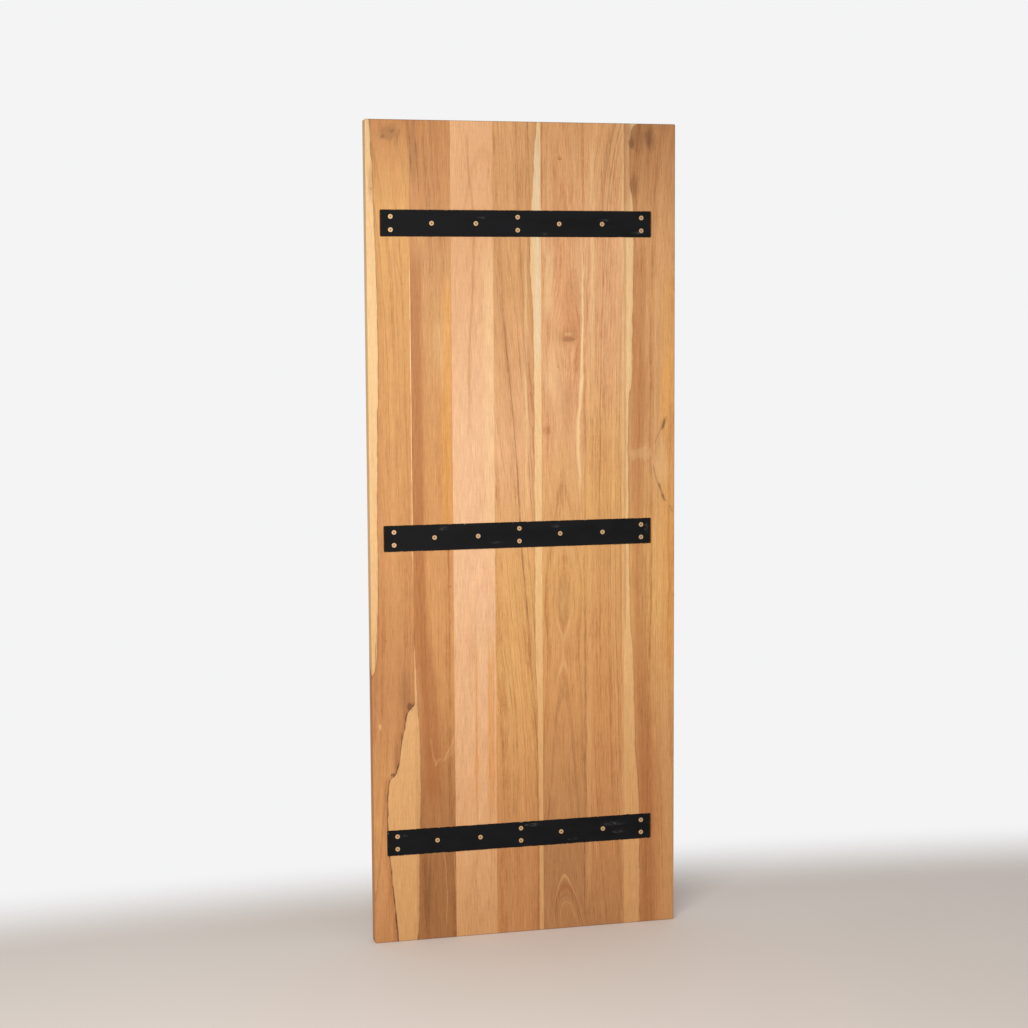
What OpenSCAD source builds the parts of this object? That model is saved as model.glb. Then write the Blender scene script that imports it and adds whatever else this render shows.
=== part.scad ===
// Solid timber slab of seven edge-glued staves, kept flat by three steel straps
// let into its face and screwed down, one screw position in every stave.
// The slab stands on its bottom edge: +Z is up, the strapped face looks along -Y,
// and the origin is the middle of the bottom edge.

/* [Slab] */
// Height of the slab, along the grain
slab_h = 1600; // [1200:10:2100]
// Thickness of the slab
slab_t = 30; // [28:1:45]
// Radius of the eased edges all round
edge_r = 2.5; // [1:0.5:4]

/* [Staves] */
// Width of stave 1, at the left edge
stave_1_w = 84; // [80:1:110]
// Width of stave 2
stave_2_w = 80; // [76:1:84]
// Width of stave 3
stave_3_w = 83.5; // [80:0.5:86]
// Width of stave 4, at the middle
stave_4_w = 95.5; // [92:0.5:98]
// Width of stave 5
stave_5_w = 87; // [84:1:90]
// Width of stave 6
stave_6_w = 81; // [78:1:84]
// Width of stave 7, at the right edge
stave_7_w = 106; // [102:1:140]

/* [Straps] */
// Length of a strap, across the slab
strap_l = 538; // [530:1:544]
// Width of the flat bar
strap_w = 50; // [40:1:60]
// Thickness of the flat bar
strap_t = 5; // [4:0.5:8]
// Radius of the filed corners at the strap's ends
strap_corner_r = 2; // [1:0.5:6]
// Radius of the bar's rolled long edges
strap_edge_r = 0.6; // [0.3:0.1:1]
// Distance from the slab's left edge to the middle of the straps
strap_mid_x = 297; // [294:1:300]
// Height of the bottom strap's middle
bottom_strap_z = 199; // [100:1:300]
// Height of the middle strap's middle
middle_strap_z = 800; // [600:1:1000]
// Height of the top strap's middle
top_strap_z = 1405; // [1050:1:1500]

/* [Recesses] */
// Depth of a strap's face below the slab's face
strap_sink = 0.3; // [0:0.1:1]
// Gap between a strap's long edges and its recess
gap_edge = 0.8; // [0.2:0.1:2]
// Gap between a strap's ends and its recess
gap_end = 2; // [0.5:0.5:4]
// Radius that the router bit leaves in a recess's corners
recess_corner_r = 3; // [2:0.5:6]

/* [Screws] */
// Distance from a strap's middle to its end pairs of screws
pair_x = 250; // [245:1:255]
// Distance from a strap's middle to its outer single screws
outer_single_x = 170; // [166:1:174]
// Distance from a strap's middle to its inner single screws
inner_single_x = 83; // [80:1:86]
// Height between the two screws of a pair
pair_spacing = 25; // [20:1:30]
// Length of a screw, over its head
screw_l = 25; // [20:1:26]
// Diameter over the thread
thread_d = 4.5; // [4:0.5:5]
// Diameter of the smooth shank and of the thread's root
shank_d = 3; // [2.6:0.1:3.4]
// Diameter of the countersunk head
head_d = 9; // [8:0.5:10]
// Pitch of the thread
thread_pitch = 2.2; // [1.8:0.1:2.6]

/* [Hidden] */
// Fineness of round shapes in the preview
$fn = 48;
// Overlap that keeps a cut clear of the face it starts from
cut = 1;

stave_widths = [
    stave_1_w, stave_2_w, stave_3_w, stave_4_w, stave_5_w, stave_6_w, stave_7_w
];
// Browns of the seven staves, from the left
stave_colours = [
    [0.84, 0.63, 0.42], [0.80, 0.58, 0.36], [0.90, 0.71, 0.52], [0.84, 0.64, 0.43],
    [0.82, 0.62, 0.42], [0.82, 0.62, 0.43], [0.76, 0.55, 0.35]
];
strap_colour = [0.12, 0.12, 0.13];
screw_colour = [0.80, 0.66, 0.48];

// Running sum of the widths: the left edge of stave i, measured from the slab's left edge
function stave_left(i) = i == 0 ? 0 : stave_left(i - 1) + stave_widths[i - 1];

slab_w = stave_left(len(stave_widths));
face_y = -slab_t / 2;
strap_face_y = face_y + strap_sink;
recess_t = strap_sink + strap_t;
strap_x = strap_mid_x - slab_w / 2;

straps = ["bottom_strap", "middle_strap", "top_strap"];
strap_z = [bottom_strap_z, middle_strap_z, top_strap_z];

// Screw places on a strap, from its middle: a pair at each end and at the middle,
// with two single screws between each two pairs
half_pair = pair_spacing / 2;
screw_places = [
    [-pair_x, half_pair], [-pair_x, -half_pair],
    [-outer_single_x, 0], [-inner_single_x, 0],
    [0, half_pair], [0, -half_pair],
    [inner_single_x, 0], [outer_single_x, 0],
    [pair_x, half_pair], [pair_x, -half_pair]
];

// Hole through a strap, around the shank
strap_hole_d = thread_d + 0.5;
// Hole in the timber, cut out to the crest of the thread with a little air
pilot_d = thread_d + 0.1;
// The pilot hole runs a little past the screw's point
pilot_l = screw_l + 1;
// A flat rim around the head, then a 90 degree cone down to the shank
head_rim_t = 0.3;
head_cone_t = (head_d - shank_d) / 2;
// The head sits this far below the strap's face, and this much air lies round it
head_sink = 0.1;
head_gap = 0.05;
// Smooth length under the head, and length of the point
smooth_l = 4;
point_l = 4;
// Cross recess of the head: width over the wings, width of a wing, and depth
drive_d = 4.8;
drive_wing_w = 1;
drive_deep = 2.2;
drive_floor_d = 1.6;
// Each screw was left turned to its own angle: these steps spread the angles
turn_step = 37;
strap_turn_step = 23;

stave_names = [for (i = [1 : len(stave_widths)]) str("stave_", i)];
screw_names = [
    for (s = [0 : len(straps) - 1])
        [for (k = [1 : len(screw_places)]) str(straps[s], "_screw_", k)]
];

// Rectangle about the origin with round corners, from two bars and four discs
module round_rect(w, h, r) {
    square([w - 2 * r, h], center = true);
    square([w, h - 2 * r], center = true);
    for (x = [-1, 1], y = [-1, 1])
        translate([x * (w / 2 - r), y * (h / 2 - r)])
            circle(r);
}

// Turns a flat outline into a plate that lies in the slab's face: outline x stays x,
// outline y becomes height, and the plate grows from y0 into the slab by t
module plate(y0, t) {
    translate([0, y0 + t, 0])
        rotate([90, 0, 0])
            linear_extrude(t)
                children();
}

// Turns a cross-section that is drawn as (thickness, height) into a bar along X
module bar_along_x(l) {
    rotate([90, 0, 90])
        linear_extrude(l, center = true)
            children();
}

// Places its children at a strap, whose middle is the children's origin in X and Z
module at_strap(s) {
    translate([strap_x, 0, strap_z[s]])
        children();
}

// Places its children with their +Z along a screw's axis, out of the slab,
// and their origin on the strap's face
module at_screw(s, k) {
    at_strap(s)
        translate([screw_places[k][0], strap_face_y, screw_places[k][1]])
            rotate([90, 0, 0])
                children();
}

// The whole slab with all its outer edges eased, before it is cut into staves
module slab_form() {
    intersection() {
        linear_extrude(slab_h)
            round_rect(slab_w, slab_t, edge_r);
        translate([0, 0, slab_h / 2])
            bar_along_x(slab_w)
                round_rect(slab_t, slab_h, edge_r);
    }
}

// Shallow pocket that a strap is let into
module recess() {
    plate(face_y - cut, recess_t + cut)
        round_rect(strap_l + 2 * gap_end, strap_w + 2 * gap_edge, recess_corner_r);
}

// Pilot hole with a pointed floor, as a drill leaves it
module pilot_hole() {
    translate([0, 0, -pilot_l])
        cylinder(h = pilot_l, d = pilot_d);
    translate([0, 0, -pilot_l - pilot_d / 4])
        cylinder(h = pilot_d / 4, d1 = 0, d2 = pilot_d);
}

// One glued stave, with its share of the recesses and the pilot holes that fall in it
module stave(i) {
    left = stave_left(i) - slab_w / 2;
    right = left + stave_widths[i];
    color(stave_colours[i])
        difference() {
            intersection() {
                slab_form();
                translate([left, -slab_t, -cut])
                    cube([stave_widths[i], 2 * slab_t, slab_h + 2 * cut]);
            }
            for (s = [0 : len(straps) - 1]) {
                at_strap(s)
                    recess();
                for (k = [0 : len(screw_places) - 1]) {
                    x = strap_x + screw_places[k][0];
                    if (x > left && x < right)
                        at_screw(s, k)
                            pilot_hole();
                }
            }
        }
}

// Countersunk hole through a strap, open at the face
module strap_hole() {
    seat_d = head_d + 2 * head_gap;
    seat_deep = (seat_d - strap_hole_d) / 2;
    rim_deep = head_sink + head_rim_t;
    translate([0, 0, -strap_t - cut])
        cylinder(h = strap_t + 2 * cut, d = strap_hole_d);
    translate([0, 0, -rim_deep - seat_deep])
        cylinder(h = seat_deep, d1 = strap_hole_d, d2 = seat_d);
    translate([0, 0, -rim_deep])
        cylinder(h = rim_deep + cut, d = seat_d);
}

// Flat steel strap with ten countersunk holes
module strap(s) {
    color(strap_colour)
        difference() {
            at_strap(s)
                intersection() {
                    plate(strap_face_y, strap_t)
                        round_rect(strap_l, strap_w, strap_corner_r);
                    translate([0, strap_face_y + strap_t / 2, 0])
                        bar_along_x(strap_l + 2 * cut)
                            round_rect(strap_t, strap_w, strap_edge_r);
                }
            for (k = [0 : len(screw_places) - 1])
                at_screw(s, k)
                    strap_hole();
        }
}

// Half section of a screw, as (radius, height), from its point up to the head.
// The thread is a stack of rings of the thread's own pitch and depth.
function screw_section() =
    let (
        head_r = head_d / 2,
        shank_r = shank_d / 2,
        thread_r = thread_d / 2,
        thread_top = -head_rim_t - head_cone_t - smooth_l,
        thread_low = -screw_l + point_l,
        rings = floor((thread_top - thread_low) / thread_pitch)
    )
    concat(
        [[0, -screw_l], [shank_r * 0.7, thread_low - point_l / 4], [shank_r, thread_low]],
        [for (n = [0 : rings - 1])
            let (z = thread_low + n * thread_pitch)
            each [[shank_r, z + thread_pitch * 0.3], [thread_r, z + thread_pitch * 0.55],
                [shank_r, z + thread_pitch * 0.8]]],
        [[shank_r, -head_rim_t - head_cone_t], [head_r, -head_rim_t], [head_r, 0], [0, 0]]
    );

// Cross recess: two crossed slots inside a cone that narrows to the recess's floor
module cross_recess() {
    intersection() {
        union() {
            cube([drive_d, drive_wing_w, 2 * drive_deep], center = true);
            cube([drive_wing_w, drive_d, 2 * drive_deep], center = true);
        }
        translate([0, 0, -drive_deep])
            cylinder(h = drive_deep + cut, d1 = drive_floor_d,
                d2 = drive_d + (drive_d - drive_floor_d) * cut / drive_deep);
    }
}

// Countersunk wood screw
module screw(s, k) {
    color(screw_colour)
        at_screw(s, k)
            translate([0, 0, -head_sink])
                rotate(turn_step * k + strap_turn_step * s)
                    difference() {
                        rotate_extrude()
                            polygon(screw_section());
                        cross_recess();
                    }
}

for (i = [0 : len(stave_widths) - 1])
    stave(i);

for (s = [0 : len(straps) - 1])
    strap(s);

for (s = [0 : len(straps) - 1], k = [0 : len(screw_places) - 1])
    screw(s, k);
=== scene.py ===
import math
import random
from collections import namedtuple

import bmesh
import bpy
from bpy.props import FloatProperty, FloatVectorProperty, IntProperty, PointerProperty
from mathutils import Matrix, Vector


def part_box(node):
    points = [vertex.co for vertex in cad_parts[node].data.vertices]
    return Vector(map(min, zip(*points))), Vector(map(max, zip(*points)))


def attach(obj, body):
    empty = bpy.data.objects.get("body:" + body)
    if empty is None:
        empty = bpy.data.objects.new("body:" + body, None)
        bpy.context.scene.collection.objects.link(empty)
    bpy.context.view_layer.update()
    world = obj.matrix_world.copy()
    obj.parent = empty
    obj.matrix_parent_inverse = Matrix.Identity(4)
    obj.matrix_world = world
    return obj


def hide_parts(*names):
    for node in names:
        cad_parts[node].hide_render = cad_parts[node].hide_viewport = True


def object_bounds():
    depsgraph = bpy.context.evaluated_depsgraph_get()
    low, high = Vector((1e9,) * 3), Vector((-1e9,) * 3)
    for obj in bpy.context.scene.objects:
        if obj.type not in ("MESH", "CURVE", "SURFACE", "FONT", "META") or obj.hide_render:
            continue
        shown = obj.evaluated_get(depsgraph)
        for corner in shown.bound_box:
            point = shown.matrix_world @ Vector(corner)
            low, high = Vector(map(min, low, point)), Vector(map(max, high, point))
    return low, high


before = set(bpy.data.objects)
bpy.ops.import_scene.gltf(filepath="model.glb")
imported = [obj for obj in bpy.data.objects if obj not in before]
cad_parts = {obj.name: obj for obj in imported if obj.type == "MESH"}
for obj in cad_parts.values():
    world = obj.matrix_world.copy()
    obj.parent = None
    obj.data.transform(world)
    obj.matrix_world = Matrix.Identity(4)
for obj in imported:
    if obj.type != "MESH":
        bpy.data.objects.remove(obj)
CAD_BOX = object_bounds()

bl_info = {
    "name": "Strapped Timber Slab",
    "version": (1, 0, 0),
    "blender": (4, 5, 0),
    "location": "View3D > Sidebar > Slab",
    "description": "Edge-glued hardwood slab with steel straps let into its face",
    "category": "Object",
}

BODY = "root"
MM = 0.001
CLEARANCE = 1 * MM      # how far a cutting tool starts off the face that it cuts
WELD = 1e-6             # points nearer than this are one point
STAVES = sorted(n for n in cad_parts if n.startswith("stave_"))
STRAPS = ("bottom_strap", "middle_strap", "top_strap")
SLAB_LOW, SLAB_HIGH = CAD_BOX
SLAB_HEIGHT_MM = (SLAB_HIGH.z - SLAB_LOW.z) / MM
HEAD_RIM = 0.3 * MM     # flat rim round a countersunk head
HEAD_SINK = 0.1 * MM    # how far a head lies below its strap's face


def rgb(red, green, blue):
    """A colour picked on a 0 to 255 scale, as the linear colour that shaders take."""
    def linear(level):
        level /= 255
        return level / 12.92 if level <= 0.04045 else ((level + 0.055) / 1.055) ** 2.4
    return tuple(linear(level) for level in (red, green, blue))


def screws_of(strap):
    """The CAD nodes of a strap's screws, in order."""
    names = [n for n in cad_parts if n.startswith(strap + "_screw_")]
    return sorted(names, key=lambda n: int(n.rsplit("_", 1)[1]))


# ---------------------------------------------------------------- settings

def length_setting(name, description, default):
    return FloatProperty(
        name=name, description=description, default=default, unit="LENGTH")


def colour_setting(name, description, default):
    return FloatVectorProperty(
        name=name, description=description, default=default, subtype="COLOR")


class TimberSettings(bpy.types.PropertyGroup):
    """Sizes and colours of the timber."""
    edge_radius: length_setting("Edge radius", "Radius of the eased outer edges", 2.5 * MM)
    edge_steps: IntProperty(
        name="Edge steps", description="Flats that make up an eased edge", default=5)
    glue_groove: length_setting("Glue groove", "Chamfer left at each glue line", 0.12 * MM)
    recess_gap: length_setting(
        "Recess gap", "Gap between a strap's long edges and its recess", 0.8 * MM)
    recess_end_gap: length_setting(
        "Recess end gap", "Gap between a strap's ends and its recess", 2 * MM)
    recess_corner: length_setting("Recess corner", "Radius of a recess's corners", 3 * MM)
    raggedness: length_setting(
        "Raggedness", "How far the router left the recess edges uneven", 0.14 * MM)
    tone: colour_setting("Tone", "Tint over all of the timber", (0.82, 0.835, 0.80))
    russet: colour_setting("Russet", "Darkest and reddest heartwood", rgb(160, 105, 60))
    chestnut: colour_setting("Chestnut", "Dark brown heartwood", rgb(175, 120, 75))
    tan: colour_setting("Tan", "Middling brown heartwood", rgb(190, 130, 80))
    honey: colour_setting("Honey", "Warm yellowish heartwood", rgb(205, 145, 90))
    oat: colour_setting("Oat", "Duller light heartwood", rgb(205, 150, 100))
    golden: colour_setting("Golden", "Light golden heartwood", rgb(215, 160, 100))
    straw: colour_setting("Straw", "Pale heartwood", rgb(220, 165, 120))
    cream: colour_setting("Cream", "Palest heartwood", rgb(230, 180, 140))
    sapwood: colour_setting("Sapwood", "Pale outer wood of the tree", rgb(242, 203, 152))
    bleached: colour_setting(
        "Bleached", "Grey cast in the palest sapwood", rgb(226, 204, 176))
    dark_streak: colour_setting("Dark streak", "Dark brown mineral lines", rgb(96, 60, 34))
    red_streak: colour_setting("Red streak", "Reddish brown bands", rgb(176, 112, 62))
    gold_streak: colour_setting("Gold streak", "Golden resinous bands", rgb(226, 164, 88))
    fibre: colour_setting(
        "Torn fibre", "Raw fibres along the recess edges", rgb(232, 190, 138))
    fibre_spacing: length_setting(
        "Fibre spacing", "Distance between torn fibres along an edge", 0.75 * MM)
    fibre_length: length_setting(
        "Fibre length", "Length of the longest torn fibres", 1.3 * MM)


class StrapSettings(bpy.types.PropertyGroup):
    """Sizes and colours of the straps."""
    corner_radius: length_setting("Corner radius", "Radius of the filed corners", 2 * MM)
    edge_radius: length_setting("Edge radius", "Radius of the rolled edges", 0.6 * MM)
    seat_gap: length_setting("Seat gap", "Air around a screw head in its seat", 0.05 * MM)
    hole: length_setting("Hole", "Diameter of the holes around the shanks", 5 * MM)
    paint: colour_setting("Paint", "Matte black paint", rgb(11, 11, 13))
    scuff: colour_setting("Scuff", "Dusty grey scuffs on the paint", rgb(98, 96, 94))
    bare: colour_setting(
        "Bare steel", "Steel where paint is chipped off an edge", rgb(196, 186, 172))


class ScrewSettings(bpy.types.PropertyGroup):
    """Sizes and colours of the screws."""
    shank: length_setting("Shank", "Diameter of the shank", 3 * MM)
    thread: length_setting("Thread", "Diameter over the thread", 4.5 * MM)
    pitch: length_setting("Pitch", "Rise of one turn of the thread", 2.2 * MM)
    drive: length_setting("Drive", "Width over the wings of the cross recess", 4.8 * MM)
    seed: IntProperty(
        name="Seed", description="Picks how far each screw was turned", default=4)
    plating: colour_setting("Plating", "Yellow zinc plating", rgb(208, 174, 134))
    # One colour for real specks of dirt on the heads and for the painted shade in the cross
    # recesses
    grime_and_recess_shade: colour_setting("Grime", "Dark film in the cross recess", rgb(116, 84, 56))


class StudioSettings(bpy.types.PropertyGroup):
    """Floor, light and camera."""
    floor: colour_setting("Floor", "Plain pale floor", rgb(222, 213, 205))
    air: colour_setting(
        "Surroundings", "Colour of the plain white room", rgb(244, 244, 245))
    room_light: FloatProperty(
        name="Room light", description="Strength of the light from all round",
        default=0.6)
    key_power: FloatProperty(
        name="Key power", description="Power of the soft window light in watts",
        default=82)
    key_place: FloatVectorProperty(
        name="Key place", description="Where the soft window light hangs",
        default=(-1.3, -2.7, 1.3), unit="LENGTH")
    key_aim: FloatVectorProperty(
        name="Key aim", description="The point that the window light faces",
        default=(0.05, 0, 0.75), unit="LENGTH")
    key_size: FloatVectorProperty(
        name="Key size", description="Width and height of the window light",
        default=(1.6, 1.2), size=2, unit="LENGTH")
    key_colour: colour_setting("Key colour", "Slightly warm daylight", (1.0, 0.985, 0.96))
    camera_place: FloatVectorProperty(
        name="Camera place", description="Where the camera stands",
        default=(-0.958, -3.788, 1.232), unit="LENGTH")
    camera_turn: FloatVectorProperty(
        name="Camera turn", description="Tilt, roll and heading of the camera",
        default=(math.radians(84.26), math.radians(0.33), math.radians(-13.96)),
        subtype="EULER")
    camera_lens: FloatProperty(
        name="Lens", description="Focal length in millimetres on a 36 mm sensor",
        default=69.8)


# ------------------------------------------------------------ node helpers

class Graph:
    """Short names for making and joining the nodes of one tree."""

    def __init__(self, tree):
        self.tree = tree

    def feed(self, socket, value):
        if isinstance(value, bpy.types.NodeSocket):
            self.tree.links.new(value, socket)
        else:
            socket.default_value = value

    def add(self, kind, inputs=None, **settings):
        """Makes a node. Inputs are keyed by name or number."""
        node = self.tree.nodes.new(kind)
        for key, value in settings.items():
            setattr(node, key, value)
        for key, value in (inputs or {}).items():
            self.feed(node.inputs[key], value)
        return node

    def math(self, operation, *values):
        node = self.add("ShaderNodeMath", dict(enumerate(values)), operation=operation)
        return node.outputs[0]

    def times(self, first, second):
        return self.math("MULTIPLY", first, second)

    def plus(self, first, second):
        return self.math("ADD", first, second)

    def minus(self, first, second):
        return self.math("SUBTRACT", first, second)

    def over(self, first, second):
        return self.math("DIVIDE", first, second)

    def times_plus(self, first, second, third):
        return self.math("MULTIPLY_ADD", first, second, third)

    def absolute(self, value):
        return self.math("ABSOLUTE", value)

    def distance(self, first, second):
        """How far apart two points are, from how far apart they are along two axes."""
        squares = self.plus(self.times(first, first), self.times(second, second))
        return self.math("SQRT", squares)

    def vector(self, x, y, z):
        return self.add("ShaderNodeCombineXYZ", {0: x, 1: y, 2: z}).outputs[0]

    def split(self, vector):
        return self.add("ShaderNodeSeparateXYZ", {0: vector}).outputs[:3]

    def moved(self, operation, vector, by):
        node = self.add("ShaderNodeVectorMath", {0: vector, 1: by}, operation=operation)
        return node.outputs[0]

    def smooth(self, value, low, high, to_low=0.0, to_high=1.0):
        """0 below low, 1 above high, and an eased slope between."""
        inputs = {0: value, 1: low, 2: high, 3: to_low, 4: to_high}
        node = self.add("ShaderNodeMapRange", inputs, interpolation_type="SMOOTHSTEP")
        return node.outputs[0]

    def between(self, value, low, high, ease_in, ease_out):
        """1 between low and high, and an eased slope just inside each."""
        return self.times(self.smooth(value, low, low + ease_in),
                          self.smooth(value, high, high - ease_out))

    def noise(self, vector, size, detail=2.0, rough=0.5):
        """Noise from 0 to 1 whose features measure size along X, Y and Z."""
        scaled = self.moved("DIVIDE", vector, size)
        inputs = {"Vector": scaled, "Scale": 1.0, "Detail": detail, "Roughness": rough}
        return self.add("ShaderNodeTexNoise", inputs).outputs[0]

    def blend(self, factor, first, second, kind="MIX"):
        node = self.add(
            "ShaderNodeMix", data_type="RGBA", blend_type=kind, clamp_factor=True)
        for place, value in ((0, factor), (6, first), (7, second)):
            if isinstance(value, (tuple, list)) or hasattr(value, "r"):
                value = (*tuple(value)[:3], 1.0)
            self.feed(node.inputs[place], value)
        return node.outputs[2]

    def ramp(self, factor, stops):
        """Colours at places from 0 to 1."""
        node = self.add("ShaderNodeValToRGB", {0: factor})
        elements = node.color_ramp.elements
        elements[0].position, elements[1].position = stops[0][0], stops[-1][0]
        elements[0].color, elements[1].color = (*stops[0][1], 1), (*stops[-1][1], 1)
        for place, colour in stops[1:-1]:
            elements.new(place).color = (*colour, 1)
        return node.outputs[0]

    def follow(self, share, points, low, high):
        """A smooth curve through points of (share, value), read at share."""
        node = self.add("ShaderNodeFloatCurve", {"Value": share})
        curve = node.mapping.curves[0]
        scaled = [(s, (v - low) / (high - low)) for s, v in sorted(points)]
        for point, place in zip(list(curve.points), (scaled[0], scaled[-1])):
            point.location = place
        for place in scaled[1:-1]:
            curve.points.new(*place)
        node.mapping.update()
        return self.times_plus(node.outputs[0], high - low, low)


def new_material(name):
    """An empty material, its graph, its principled shader and its output."""
    material = bpy.data.materials.new(name)
    material.use_nodes = True
    graph = Graph(material.node_tree)
    graph.tree.nodes.clear()
    shader = graph.add("ShaderNodeBsdfPrincipled")
    output = graph.add("ShaderNodeOutputMaterial", {"Surface": shader.outputs[0]})
    return material, graph, shader, output


def place_in_mm(graph):
    """Millimetres from the slab's left edge, from its strapped face and from its foot."""
    here = graph.add("ShaderNodeTexCoord").outputs["Object"]
    from_corner = graph.moved("SUBTRACT", here, tuple(SLAB_LOW))
    return graph.moved("DIVIDE", from_corner, (MM, MM, MM))


def bumped(graph, shader, height, depth):
    """Raises the surface by height, where 1 is depth metres."""
    bump = graph.add("ShaderNodeBump", {"Distance": depth, "Height": height})
    graph.feed(shader.inputs["Normal"], bump.outputs[0])


# ------------------------------------------------------------ timber figure

# Tones of the timber, each named for the setting that holds its colour
RUSSET, CHESTNUT, TAN, HONEY = "russet", "chestnut", "tan", "honey"
OAT, GOLDEN, STRAW, CREAM = "oat", "golden", "straw", "cream"
SAPWOOD, BLEACHED = "sapwood", "bleached"
DARK, RED, GOLD = "dark_streak", "red_streak", "gold_streak"

# How the figure of a stave is described. Places are millimetres from the slab's left
# edge (x) and from its foot (z). Outlines list (z, x) from the foot up. The heartwood's
# colours and the pith's depth behind the face are listed by share of the height, and
# drift is how far the grain leans to the left at a height.
Zone = namedtuple("Zone", "outline side soft tone strength rim", defaults=(0.0,))
Band = namedtuple("Band", "outline half_width low high tone strength")
Line = namedtuple("Line", "x0 z0 x1 z1 half_width tone strength bow", defaults=(0.0,))
Arc = namedtuple("Arc", "radius half_width low high tone strength")
Smudge = namedtuple("Smudge", "x z half_x half_z tone strength")
Knot = namedtuple("Knot", "x z radius dark")
Figure = namedtuple(
    "Figure", "heart pith depth ring contrast hairlines dashes drift zones bands lines"
    " arcs smudges knots", defaults=((), (), (), (), (), (), ()))

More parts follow.
